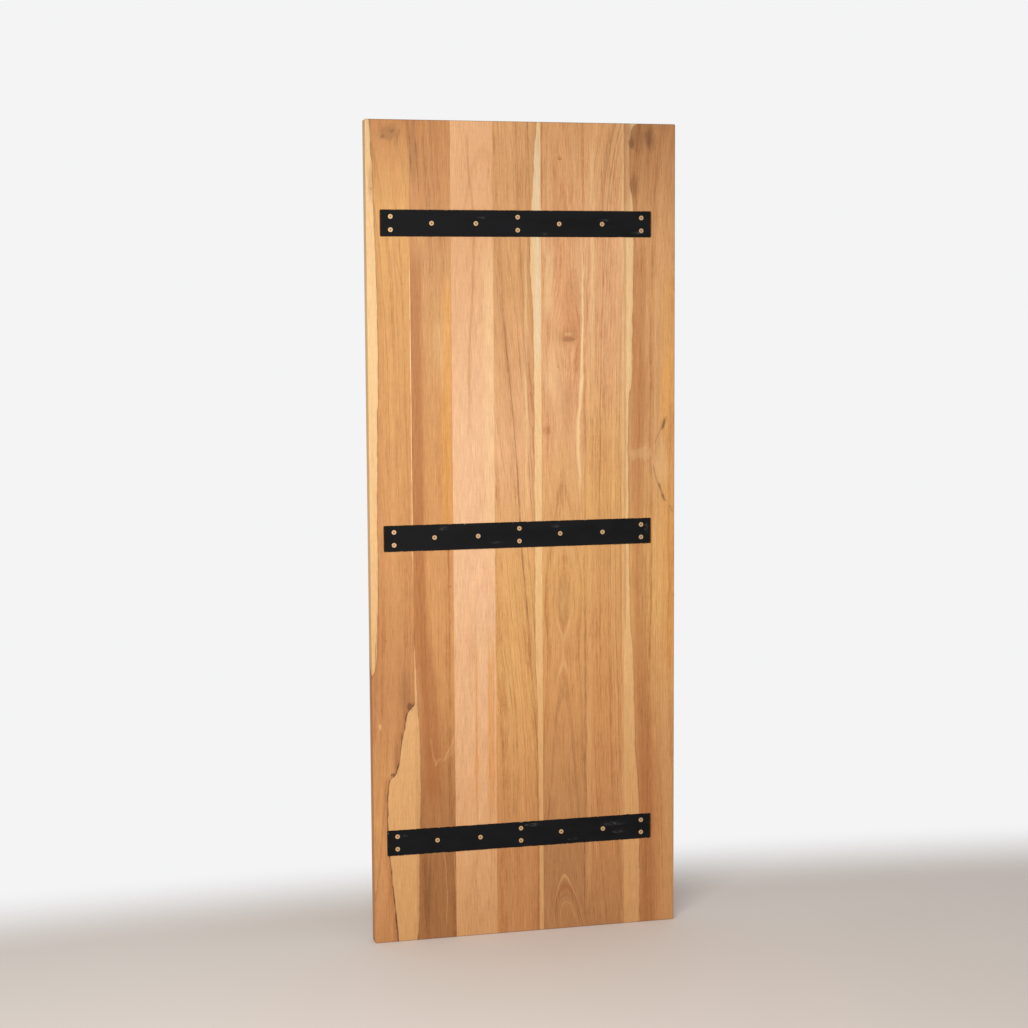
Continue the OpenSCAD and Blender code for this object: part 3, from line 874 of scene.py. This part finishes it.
def plating_material():
    """Yellow zinc plating with specks of dirt, and painted shade that deepens down into the
    cross recess.
    """
    settings = bpy.context.scene.slab_screw
    material, g, shader, _ = new_material("Yellow zinc")
    place = place_in_mm(g)
    _, y, _ = g.split(place)
    sheen = g.noise(place, (2.2, 2.2, 2.2), 3.0, 0.6)
    grit = g.noise(place, (0.35, 0.35, 0.35), 2.0)
    pale = g.blend(1.0, settings.plating, (1.08, 1.02, 0.92), "MULTIPLY")
    colour = g.blend(g.smooth(sheen, 0.3, 0.7), settings.plating, pale)
    head_face = (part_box(screws_of(STRAPS[0])[0])[0].y - SLAB_LOW.y) / MM
    # Painted shade: the head darkens with depth down into the cross recess
    sunk = g.smooth(y, head_face + 0.15, head_face + 1.3)
    colour = g.blend(g.times(sunk, 0.75), colour, settings.grime_and_recess_shade)
    colour = g.blend(g.smooth(grit, 0.62, 0.75, 0.0, 0.35), colour, settings.grime_and_recess_shade)
    g.feed(shader.inputs["Base Color"], colour)
    shader.inputs["Metallic"].default_value = 0.85
    g.feed(shader.inputs["Roughness"], g.smooth(sheen, 0.3, 0.7, 0.34, 0.5))
    bumped(g, shader, grit, 0.03 * MM)
    return material


# -------------------------------------------------------------- mesh helpers

def new_object(name, mesh):
    piece = bpy.data.objects.new(name, mesh)
    bpy.context.scene.collection.objects.link(piece)
    return piece


def applied(piece):
    """Turns a piece's modifiers into plain mesh, and removes them."""
    depsgraph = bpy.context.evaluated_depsgraph_get()
    finished = bpy.data.meshes.new_from_object(piece.evaluated_get(depsgraph))
    piece.modifiers.clear()
    old = piece.data
    piece.data = finished
    bpy.data.meshes.remove(old)
    if not finished.polygons:
        raise RuntimeError(f"{piece.name} came out empty")
    return piece


def smoothed(piece, angle=32):
    """Smooth shading that stays crisp at corners and true on the large flats."""
    mesh = piece.data
    mesh.polygons.foreach_set("use_smooth", [True] * len(mesh.polygons))
    mesh.set_sharp_from_angle(angle=math.radians(angle))
    weighted = piece.modifiers.new("Weighted normals", "WEIGHTED_NORMAL")
    weighted.keep_sharp = True
    weighted.weight = 100
    return applied(piece)


def box_between(low, high):
    """A box as a bmesh."""
    form = bmesh.new()
    bmesh.ops.create_cube(form, size=1.0)
    size, middle = high - low, (low + high) / 2
    for corner in form.verts:
        corner.co = Vector(a * b + c for a, b, c in zip(corner.co, size, middle))
    return form


def slice_between(form, outline, front, back):
    """Adds a prism to form: a closed outline of (x, z) carried from front to back."""
    rows = [[form.verts.new((x, y, z)) for x, z in outline] for y in (front, back)]
    form.faces.new(rows[0])
    form.faces.new(rows[1][::-1])
    count = len(outline)
    for i in range(count):
        j = (i + 1) % count
        form.faces.new((rows[0][j], rows[0][i], rows[1][i], rows[1][j]))


def finished_bmesh(form, name):
    bmesh.ops.recalc_face_normals(form, faces=form.faces)
    mesh = bpy.data.meshes.new(name)
    form.to_mesh(mesh)
    form.free()
    return mesh


def cut(piece, tool):
    """Takes the tool's shape out of the piece."""
    taken = piece.modifiers.new("Cut", "BOOLEAN")
    taken.operation = "DIFFERENCE"
    taken.solver = "EXACT"
    taken.object = tool
    applied(piece)


def hand_over(piece, slot, *nodes):
    """Makes the piece ride with the CAD and stand for its nodes, which it hides."""
    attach(piece, BODY)
    if nodes:
        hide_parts(*nodes)


# ------------------------------------------------------------------- recess

def uneven_lip(start, end, height, side, timber, rng):
    """Points along one long edge of a recess, from start to end. Side is -1 or 1, away
    from the strap. The router tore small chips out across the grain."""
    step = 2.6 * MM
    chip_share, chip_low, chip_high = 0.05, 0.3 * MM, 0.9 * MM
    count = max(2, round(abs(end - start) / step))
    points = []
    for i in range(count + 1):
        along = start + (end - start) * i / count
        jag = rng.uniform(-1, 1) * timber.raggedness
        if rng.random() < chip_share:
            jag += rng.uniform(chip_low, chip_high)
        points.append((along, height + side * jag))
    return points


def recess_outline(strap, timber):
    """Closed outline of a recess and its two long lips, lower one first."""
    rng = random.Random(strap)
    low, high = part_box(strap)
    left, right = low.x - timber.recess_end_gap, high.x + timber.recess_end_gap
    foot, head = low.z - timber.recess_gap, high.z + timber.recess_gap
    r = timber.recess_corner
    inset = 1.4 * r         # keeps the uneven stretch clear of the corners

    def corner(x, z, first):
        turns = [math.radians(first + 90 * i / 4) for i in range(5)]
        return [(x + r * math.cos(a), z + r * math.sin(a)) for a in turns]

    lower = uneven_lip(left + inset, right - inset, foot, -1, timber, rng)
    upper = uneven_lip(right - inset, left + inset, head, 1, timber, rng)
    outline = (corner(left + r, foot + r, 180) + lower
               + corner(right - r, foot + r, 270) + corner(right - r, head - r, 0)
               + upper + corner(left + r, head - r, 90))
    return outline, lower, upper


def recess_cutter(timber):
    """One tool that cuts every recess."""
    form = bmesh.new()
    front = SLAB_LOW.y - CLEARANCE
    for strap in STRAPS:
        outline, _, _ = recess_outline(strap, timber)
        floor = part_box(strap)[1].y
        slice_between(form, outline, front, floor)
    return new_object("recess_cutter", finished_bmesh(form, "recess_cutter"))


def pilot_cutter():
    """One tool that drills the timber for every screw."""
    sides = 20
    radius = 2.3 * MM       # out to the crest of the thread, with a little air
    form = bmesh.new()
    for strap in STRAPS:
        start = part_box(strap)[1].y - CLEARANCE
        for screw in screws_of(strap):
            low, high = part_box(screw)
            middle = (low + high) / 2
            turns = [2 * math.pi * i / sides for i in range(sides)]
            outline = [(middle.x + radius * math.cos(a), middle.z + radius * math.sin(a))
                       for a in turns]
            slice_between(form, outline, start, high.y + CLEARANCE)
    return new_object("pilot_cutter", finished_bmesh(form, "pilot_cutter"))


# ----------------------------------------------------------------- geometry nodes

def new_geometry_tree(name, inputs):
    """A tree that takes Geometry and the inputs named, as {name: kind of socket}."""
    tree = bpy.data.node_groups.new(name, "GeometryNodeTree")
    tree.interface.new_socket(
        "Geometry", in_out="INPUT", socket_type="NodeSocketGeometry")
    for label, kind in inputs.items():
        tree.interface.new_socket(label, in_out="INPUT", socket_type="NodeSocket" + kind)
    tree.interface.new_socket(
        "Geometry", in_out="OUTPUT", socket_type="NodeSocketGeometry")
    graph = Graph(tree)
    given = graph.add("NodeGroupInput")
    return tree, graph, {socket.name: socket for socket in given.outputs if socket.name}


def grown(name, tree, points, edges=(), **values):
    """A plain mesh that the tree grows from the points, with its inputs set."""
    seeds = bpy.data.meshes.new(name)
    seeds.from_pydata(points, edges, [])
    piece = new_object(name, seeds)
    modifier = piece.modifiers.new(tree.name, "NODES")
    modifier.node_group = tree
    labels = {label.replace("_", " "): value for label, value in values.items()}
    for item in tree.interface.items_tree:
        if item.in_out == "INPUT" and item.name in labels:
            modifier[item.identifier] = labels[item.name]
    return applied(piece)


def turned(g, sides, stations):
    """A closed turned solid about Z. Stations are (height, radius), from the lowest up,
    and each of their values is a number or a socket. A radius of 0 is a point."""
    pieces = []
    for (z0, r0), (z1, r1) in zip(stations, stations[1:]):
        inputs = {"Vertices": sides, "Radius Bottom": r0, "Radius Top": r1,
                  "Depth": g.minus(z1, z0)}
        wall = g.add("GeometryNodeMeshCone", inputs, fill_type="NONE").outputs[0]
        pieces.append(shifted_up(g, wall, z0))
    for place, (z, r) in ((0, stations[0]), (1, stations[-1])):
        if r != 0:
            disc = g.add("GeometryNodeMeshCircle", {0: sides, 1: r}, fill_type="NGON")
            lid = disc.outputs[0]
            if place == 0:
                lid = g.add("GeometryNodeFlipFaces", {0: lid}).outputs[0]
            pieces.append(shifted_up(g, lid, z))
    whole = joined(g, pieces)
    merged = g.add("GeometryNodeMergeByDistance", {0: whole, "Distance": WELD})
    return merged.outputs[0]


def shifted_up(g, geometry, z):
    inputs = {0: geometry, "Translation": g.vector(0.0, 0.0, z)}
    return g.add("GeometryNodeTransform", inputs).outputs[0]


def joined(g, pieces):
    join = g.add("GeometryNodeJoinGeometry")
    for piece in reversed(pieces):
        g.tree.links.new(piece, join.inputs[0])
    return join.outputs[0]


def boolean(g, operation, first, others):
    """First with the others cut out of it, added to it or met with it."""
    node = g.add("GeometryNodeMeshBoolean", operation=operation, solver="EXACT")
    if operation == "DIFFERENCE":
        g.feed(node.inputs[0], first)
        solids = others
    else:
        solids = [first, *others]
    for solid in solids:
        g.tree.links.new(solid, node.inputs[1])
    return node.outputs[0]


def finish_tree(g, geometry, material):
    real = g.add("GeometryNodeRealizeInstances", {0: geometry}).outputs[0]
    painted = g.add("GeometryNodeSetMaterial", {0: real, "Material": material})
    g.add("NodeGroupOutput", {0: painted.outputs[0]})


def turned_to_face(g, spin, lean=0.0, yaw=0.0):
    """Rotation that points a shape's +Z out of the strapped face."""
    upright = g.plus(math.pi / 2, lean)
    euler = g.vector(upright, spin, yaw)
    return g.add("FunctionNodeEulerToRotation", {0: euler}).outputs[0]


def chances(g, seed):
    """A function that gives each point its own chance number between two limits. Each
    offset gives another set of numbers."""
    index = g.add("GeometryNodeInputIndex").outputs[0]

    def chance(low, high, offset):
        shifted_seed = g.plus(seed, float(offset))
        node = g.add("FunctionNodeRandomValue", data_type="FLOAT")
        for place, value in ((2, low), (3, high), (7, index), (8, shifted_seed)):
            g.feed(node.inputs[place], value)
        return node.outputs[1]

    return chance


def strap_tree():
    """Flat bar with round corners, drilled and countersunk at each of its points."""
    tree, g, given = new_geometry_tree("Drilled strap", {
        "Length": "Float", "Width": "Float", "Thickness": "Float", "Corner": "Float",
        "Hole": "Float", "Seat": "Float", "Rim": "Float", "Middle": "Vector",
        "Material": "Material"})
    outline = g.add("GeometryNodeCurvePrimitiveQuadrilateral", {
        "Width": given["Length"], "Height": given["Width"]})
    rounded = g.add("GeometryNodeFilletCurve", {
        0: outline.outputs[0], "Count": 6, "Radius": given["Corner"]}, mode="POLY")
    sheet = g.add("GeometryNodeFillCurve", {0: rounded.outputs[0]}, mode="NGONS")
    bar = g.add("GeometryNodeExtrudeMesh", {
        0: sheet.outputs[0], "Offset": (0.0, 0.0, 1.0),
        "Offset Scale": given["Thickness"], "Individual": False})
    under = g.add("GeometryNodeFlipFaces", {0: sheet.outputs[0]})
    closed = joined(g, [bar.outputs[0], under.outputs[0]])
    closed = g.add("GeometryNodeMergeByDistance", {0: closed, "Distance": WELD})
    # The bar is drawn lying down, so it is stood up in the slab's face
    stood = g.add("GeometryNodeTransform", {
        0: closed.outputs[0], "Translation": given["Middle"],
        "Rotation": (math.pi / 2, 0.0, 0.0)})

    seat_r = g.times(given["Seat"], 0.5)
    hole_r = g.times(given["Hole"], 0.5)
    seat_foot = g.times(given["Rim"], -1.0)
    hole_top = g.minus(seat_foot, g.minus(seat_r, hole_r))
    far = g.times(given["Thickness"], -1.5)
    drill = turned(g, 36, [(far, hole_r), (hole_top, hole_r), (seat_foot, seat_r),
                           (CLEARANCE, seat_r)])
    drills = g.add("GeometryNodeInstanceOnPoints", {
        0: given["Geometry"], "Instance": drill, "Rotation": turned_to_face(g, 0.0)})
    real = g.add("GeometryNodeRealizeInstances", {0: drills.outputs[0]}).outputs[0]
    drilled = boolean(g, "DIFFERENCE", stood.outputs[0], [real])
    finish_tree(g, drilled, given["Material"])
    return tree


def screw_tree():
    """Countersunk cross-head wood screws, one at each point, each turned by chance."""
    tree, g, given = new_geometry_tree("Wood screws", {
        "Head": "Float", "Shank": "Float", "Thread": "Float", "Pitch": "Float",
        "Length": "Float", "Drive": "Float", "Seed": "Int", "Material": "Material"})
    head_r = g.times(given["Head"], 0.5)
    shank_r = g.times(given["Shank"], 0.5)
    point, smooth_length = 4 * MM, 4 * MM
    bevel_deep, bevel_in = 0.12 * MM, 0.15 * MM
    neck = g.minus(-HEAD_RIM, g.minus(head_r, shank_r))
    tip = g.times(given["Length"], -1.0)
    point_top = g.plus(tip, point)
    bevelled_r = g.minus(head_r, bevel_in)
    body = turned(g, 36, [
        (tip, 0), (point_top, shank_r), (neck, shank_r), (-HEAD_RIM, head_r),
        (-bevel_deep, head_r), (0.0, bevelled_r)])

    # Cross recess: two crossed wings inside a cone that narrows downwards
    wing, deep, floor_r = 1 * MM, 2.2 * MM, 0.8 * MM
    long_wing = g.vector(given["Drive"], wing, 2 * deep)
    cross_wing = g.vector(wing, given["Drive"], 2 * deep)
    wings = [g.add("GeometryNodeMeshCube", {"Size": s}).outputs[0]
             for s in (long_wing, cross_wing)]
    cross = boolean(g, "UNION", wings[0], wings[1:])
    drive_r = g.times(given["Drive"], 0.5)
    cone = turned(g, 24, [(-deep, floor_r), (0.0, drive_r), (0.4 * MM, drive_r)])
    recess = boolean(g, "INTERSECT", cross, [cone])
    body = boolean(g, "DIFFERENCE", body, [recess])

    # Helical thread: a diamond section carried up a spiral
    threaded = g.minus(g.plus(neck, -smooth_length), point_top)
    start_r = g.times(shank_r, 0.96)
    spiral = g.add("GeometryNodeCurveSpiral", {
        "Resolution": 20, "Rotations": g.over(threaded, given["Pitch"]),
        "Start Radius": start_r, "End Radius": start_r, "Height": threaded})
    crest = g.minus(g.times(given["Thread"], 0.5), start_r)
    section = g.add("GeometryNodeCurvePrimitiveCircle", {
        "Resolution": 4, "Radius": crest})
    thread = g.add("GeometryNodeCurveToMesh", {
        "Curve": spiral.outputs[0], "Profile Curve": section.outputs[0],
        "Fill Caps": True})
    thread = shifted_up(g, thread.outputs[0], point_top)

    screw = joined(g, [body, thread])
    chance = chances(g, given["Seed"])
    spin = chance(0.0, math.pi / 2, 0)
    tilt = 0.012            # the most that a screw was driven out of square, in radians
    rotation = turned_to_face(g, spin, chance(-tilt, tilt, 50), chance(-tilt, tilt, 90))
    placed = g.add("GeometryNodeInstanceOnPoints", {
        0: given["Geometry"], "Instance": screw, "Rotation": rotation})
    finish_tree(g, placed.outputs[0], given["Material"])
    return tree


def fibre_tree():
    """Short torn fibres along the lips of a recess, pointing across the gap."""
    tree, g, given = new_geometry_tree("Torn fibres", {
        "Spacing": "Float", "Longest": "Float", "Middle": "Float", "Seed": "Int",
        "Material": "Material"})
    lips = g.add("GeometryNodeMeshToCurve", {0: given["Geometry"]})
    spots = g.add("GeometryNodeCurveToPoints", {
        0: lips.outputs[0], "Length": given["Spacing"]}, mode="LENGTH")
    tip_r, root_r, flatness = 0.04 * MM, 0.26 * MM, 0.55
    cone = g.add("GeometryNodeMeshCone", {
        "Vertices": 4, "Radius Top": tip_r, "Radius Bottom": root_r, "Depth": 1.0},
        fill_type="NGON")
    flat = g.add("GeometryNodeTransform", {
        0: cone.outputs[0], "Scale": (1.0, flatness, 1.0)})
    chance = chances(g, given["Seed"])
    here = g.add("GeometryNodeInputPosition").outputs[0]
    up = g.split(here)[2]
    above = g.math("GREATER_THAN", up, given["Middle"])
    turn_over = g.times(above, math.pi)
    lean = g.plus(turn_over, chance(-0.22, 0.05, 11))
    euler = g.vector(lean, chance(-0.35, 0.35, 23), 0.0)
    rotation = g.add("FunctionNodeEulerToRotation", {0: euler}).outputs[0]
    clump = 9 * MM
    clumps = g.noise(here, (clump, clump, clump), 2.0)
    share = g.times(g.smooth(clumps, 0.44, 0.66, 0.1, 1.0), chance(0.35, 1.0, 37))
    length = g.times(share, given["Longest"])
    width = chance(0.6, 1.3, 51)
    placed = g.add("GeometryNodeInstanceOnPoints", {
        0: spots.outputs[0], "Instance": flat.outputs[0], "Rotation": rotation,
        "Scale": g.vector(width, width, length)})
    finish_tree(g, placed.outputs[0], given["Material"])
    return tree


# ----------------------------------------------------------------- operators

class SLAB_OT_make_staves(bpy.types.Operator):
    """Builds the seven glued staves, with eased edges and recesses for the straps"""
    bl_idname = "slab.make_staves"
    bl_label = "Make staves"

    def execute(self, context):
        timber = context.scene.slab_timber
        line_group = grain_line_group()
        recesses, pilots = recess_cutter(timber), pilot_cutter()
        for node in STAVES:
            piece = new_object(node + "_timber", self.blank(node, timber))
            cut(piece, recesses)
            cut(piece, pilots)
            smoothed(piece)
            piece.data.materials.clear()
            piece.data.materials.append(
                timber_material(node + " timber", FIGURES[node], timber, line_group))
            hand_over(piece, "hardwood", node)
        for tool in (recesses, pilots):
            bpy.data.objects.remove(tool)
        return {"FINISHED"}

    def blank(self, node, timber):
        """The bar of one stave. Outer edges are rounded and glue lines are chamfered."""
        low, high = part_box(node)
        form = box_between(low, high)
        outer = [x for x in (low.x, high.x)
                 if min(abs(x - SLAB_LOW.x), abs(x - SLAB_HIGH.x)) < MM / 10]

        def on(edge, axis, value):
            return all(abs(v.co[axis] - value) < MM / 10 for v in edge.verts)

        def lies_along(edge, axis):
            run = edge.verts[0].co - edge.verts[1].co
            return abs(run[axis]) > 0.9 * run.length

        eased = [e for e in form.edges
                 if lies_along(e, 0) or any(on(e, 0, x) for x in outer)]
        bmesh.ops.bevel(form, geom=eased, offset=timber.edge_radius, profile=0.5,
                        segments=timber.edge_steps, affect="EDGES")
        inner = [x for x in (low.x, high.x) if x not in outer]
        glued = [e for e in form.edges
                 if lies_along(e, 2) and e.calc_length() > 0.5
                 and any(on(e, 0, x) for x in inner)]
        bmesh.ops.bevel(form, geom=glued, offset=timber.glue_groove, profile=0.5,
                        segments=1, affect="EDGES")
        return finished_bmesh(form, node + "_timber")


class SLAB_OT_make_straps(bpy.types.Operator):
    """Builds the three steel straps, drilled and countersunk where the screws are"""
    bl_idname = "slab.make_straps"
    bl_label = "Make straps"

    def execute(self, context):
        strap_set = context.scene.slab_strap
        tree = strap_tree()
        for number, node in enumerate(STRAPS):
            low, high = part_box(node)
            middle = (low + high) / 2
            places, heads = [], []
            for screw in screws_of(node):
                screw_low, screw_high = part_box(screw)
                centre = (screw_low + screw_high) / 2
                places.append((centre.x, low.y, centre.z))
                heads.append(screw_high.x - screw_low.x)
            piece = grown(
                node + "_bar", tree, places,
                Length=high.x - low.x, Width=high.z - low.z, Thickness=high.y - low.y,
                Corner=strap_set.corner_radius, Hole=strap_set.hole,
                Seat=max(heads) + 2 * strap_set.seat_gap, Rim=HEAD_SINK + HEAD_RIM,
                Middle=(middle.x, high.y, middle.z),
                Material=paint_material(node + " paint", node, number + 1))
            rounded = piece.modifiers.new("Rolled edges", "BEVEL")
            rounded.limit_method = "ANGLE"
            rounded.angle_limit = math.radians(80)
            rounded.width = strap_set.edge_radius
            rounded.segments = 3
            applied(piece)
            smoothed(piece)
            hand_over(piece, "black_strap", node)
        return {"FINISHED"}


class SLAB_OT_make_screws(bpy.types.Operator):
    """Builds the thirty wood screws, ten in each strap"""
    bl_idname = "slab.make_screws"
    bl_label = "Make screws"

    def execute(self, context):
        screw_set = context.scene.slab_screw
        tree = screw_tree()
        plating = plating_material()
        for number, strap in enumerate(STRAPS):
            nodes = screws_of(strap)
            boxes = [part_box(node) for node in nodes]
            places = [((a.x + b.x) / 2, a.y, (a.z + b.z) / 2) for a, b in boxes]
            first_low, first_high = boxes[0]
            piece = grown(
                strap + "_screws", tree, places,
                Head=first_high.x - first_low.x, Shank=screw_set.shank,
                Thread=screw_set.thread, Pitch=screw_set.pitch,
                Length=first_high.y - first_low.y, Drive=screw_set.drive,
                Seed=screw_set.seed + 7 * number, Material=plating)
            smoothed(piece)
            hand_over(piece, "zinc_screw", *nodes)
        return {"FINISHED"}


class SLAB_OT_make_fibres(bpy.types.Operator):
    """Builds the torn wood fibres along the lips of the recesses"""
    bl_idname = "slab.make_fibres"
    bl_label = "Make torn fibres"

    def execute(self, context):
        timber = context.scene.slab_timber
        tree = fibre_tree()
        material = fibre_material(timber)
        under_face = SLAB_LOW.y + 0.35 * MM
        for number, strap in enumerate(STRAPS):
            _, lower, upper = recess_outline(strap, timber)
            low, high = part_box(strap)
            points = [(x, under_face, z) for x, z in lower + upper]
            edges = [(i, i + 1) for i in range(len(points) - 1) if i != len(lower) - 1]
            piece = grown(
                strap + "_fibres", tree, points, edges,
                Spacing=timber.fibre_spacing, Longest=timber.fibre_length,
                Middle=(low.z + high.z) / 2, Seed=3 + number, Material=material)
            smoothed(piece, 50)
            hand_over(piece, "hardwood")
        return {"FINISHED"}


class SLAB_OT_make_studio(bpy.types.Operator):
    """Builds the plain floor, the soft light and the camera"""
    bl_idname = "slab.make_studio"
    bl_label = "Make studio"

    def execute(self, context):
        studio = context.scene.slab_studio
        self.floor(studio)
        self.light(context, studio)
        self.camera(context, studio)
        return {"FINISHED"}

    def floor(self, studio):
        """A round floor that fades out into the white room, in an oval about a point in
        front of the slab."""
        radius, oval_front, oval_width = 4, 1.0, 0.38
        fade_start, fade_end = 1.15, 1.6
        form = bmesh.new()
        bmesh.ops.create_circle(form, cap_ends=True, segments=128, radius=radius)
        mesh = bpy.data.meshes.new("studio_floor")
        form.to_mesh(mesh)
        form.free()
        floor = new_object("studio_floor", mesh)
        material, g, shader, output = new_material("Pale floor")
        here = g.add("ShaderNodeTexCoord").outputs["Object"]
        haze = g.noise(here, (0.5, 0.5, 0.5), 3.0)
        worn = g.blend(1.0, studio.floor, (0.95, 0.945, 0.94), "MULTIPLY")
        g.feed(shader.inputs["Base Color"], g.blend(haze, studio.floor, worn))
        shader.inputs["Roughness"].default_value = 0.7
        shader.inputs["Specular IOR Level"].default_value = 0.2
        x, y, _ = g.split(here)
        ahead = g.plus(y, oval_front)
        across = g.times(x, oval_width)
        away = g.distance(across, ahead)
        clear = g.add("ShaderNodeBsdfTransparent").outputs[0]
        fade = g.smooth(away, fade_start, fade_end)
        mixed = g.add("ShaderNodeMixShader", {0: fade, 1: shader.outputs[0], 2: clear})
        g.feed(output.inputs["Surface"], mixed.outputs[0])
        floor.data.materials.append(material)

    def light(self, context, studio):
        world = bpy.data.worlds.new("White room")
        world.use_nodes = True
        g = Graph(world.node_tree)
        g.tree.nodes.clear()
        seen = g.add("ShaderNodeBackground", {"Color": (*studio.air, 1)})
        shed = g.add("ShaderNodeBackground", {
            "Color": (*studio.air, 1), "Strength": studio.room_light})
        direct = g.add("ShaderNodeLightPath").outputs["Is Camera Ray"]
        mixed = g.add("ShaderNodeMixShader", {
            0: direct, 1: shed.outputs[0], 2: seen.outputs[0]})
        g.add("ShaderNodeOutputWorld", {"Surface": mixed.outputs[0]})
        context.scene.world = world
        key = bpy.data.lights.new("Window light", "AREA")
        key.shape = "RECTANGLE"
        key.size, key.size_y = studio.key_size
        key.energy = studio.key_power
        key.color = studio.key_colour
        lamp = new_object("Window light", key)
        lamp.location = studio.key_place
        aim = Vector(studio.key_aim) - lamp.location
        lamp.rotation_euler = aim.to_track_quat("-Z", "Y").to_euler()
        lamp.visible_camera = False

    def camera(self, context, studio):
        camera = bpy.data.cameras.new("Camera")
        camera.sensor_width = 36
        camera.lens = studio.camera_lens
        stand = new_object("Camera", camera)
        stand.location = studio.camera_place
        stand.rotation_euler = studio.camera_turn
        context.scene.camera = stand
        context.scene.view_settings.view_transform = "Standard"


# ------------------------------------------------------------------- add-on

OPERATORS = (
    SLAB_OT_make_staves, SLAB_OT_make_straps, SLAB_OT_make_screws, SLAB_OT_make_fibres,
    SLAB_OT_make_studio)
SETTINGS = {
    "slab_timber": TimberSettings, "slab_strap": StrapSettings,
    "slab_screw": ScrewSettings, "slab_studio": StudioSettings}


class SLAB_PT_panel(bpy.types.Panel):
    """Lists the steps and the settings of the slab"""
    bl_idname = "SLAB_PT_panel"
    bl_label = "Strapped slab"
    bl_space_type = "VIEW_3D"
    bl_region_type = "UI"
    bl_category = "Slab"

    def draw(self, context):
        for operator in OPERATORS:
            self.layout.operator(operator.bl_idname)
        for name in SETTINGS:
            group = getattr(context.scene, name)
            box = self.layout.box()
            for label in group.__annotations__:
                box.prop(group, label)


CLASSES = (*SETTINGS.values(), *OPERATORS, SLAB_PT_panel)


def register():
    for cls in CLASSES:
        bpy.utils.register_class(cls)
    for name, group in SETTINGS.items():
        setattr(bpy.types.Scene, name, PointerProperty(type=group))


def unregister():
    for name in SETTINGS:
        delattr(bpy.types.Scene, name)
    for cls in reversed(CLASSES):
        bpy.utils.unregister_class(cls)


def main():
    register()
    bpy.ops.slab.make_staves()
    bpy.ops.slab.make_straps()
    bpy.ops.slab.make_screws()
    bpy.ops.slab.make_fibres()
    bpy.ops.slab.make_studio()


if __name__ == "__main__":
    main()
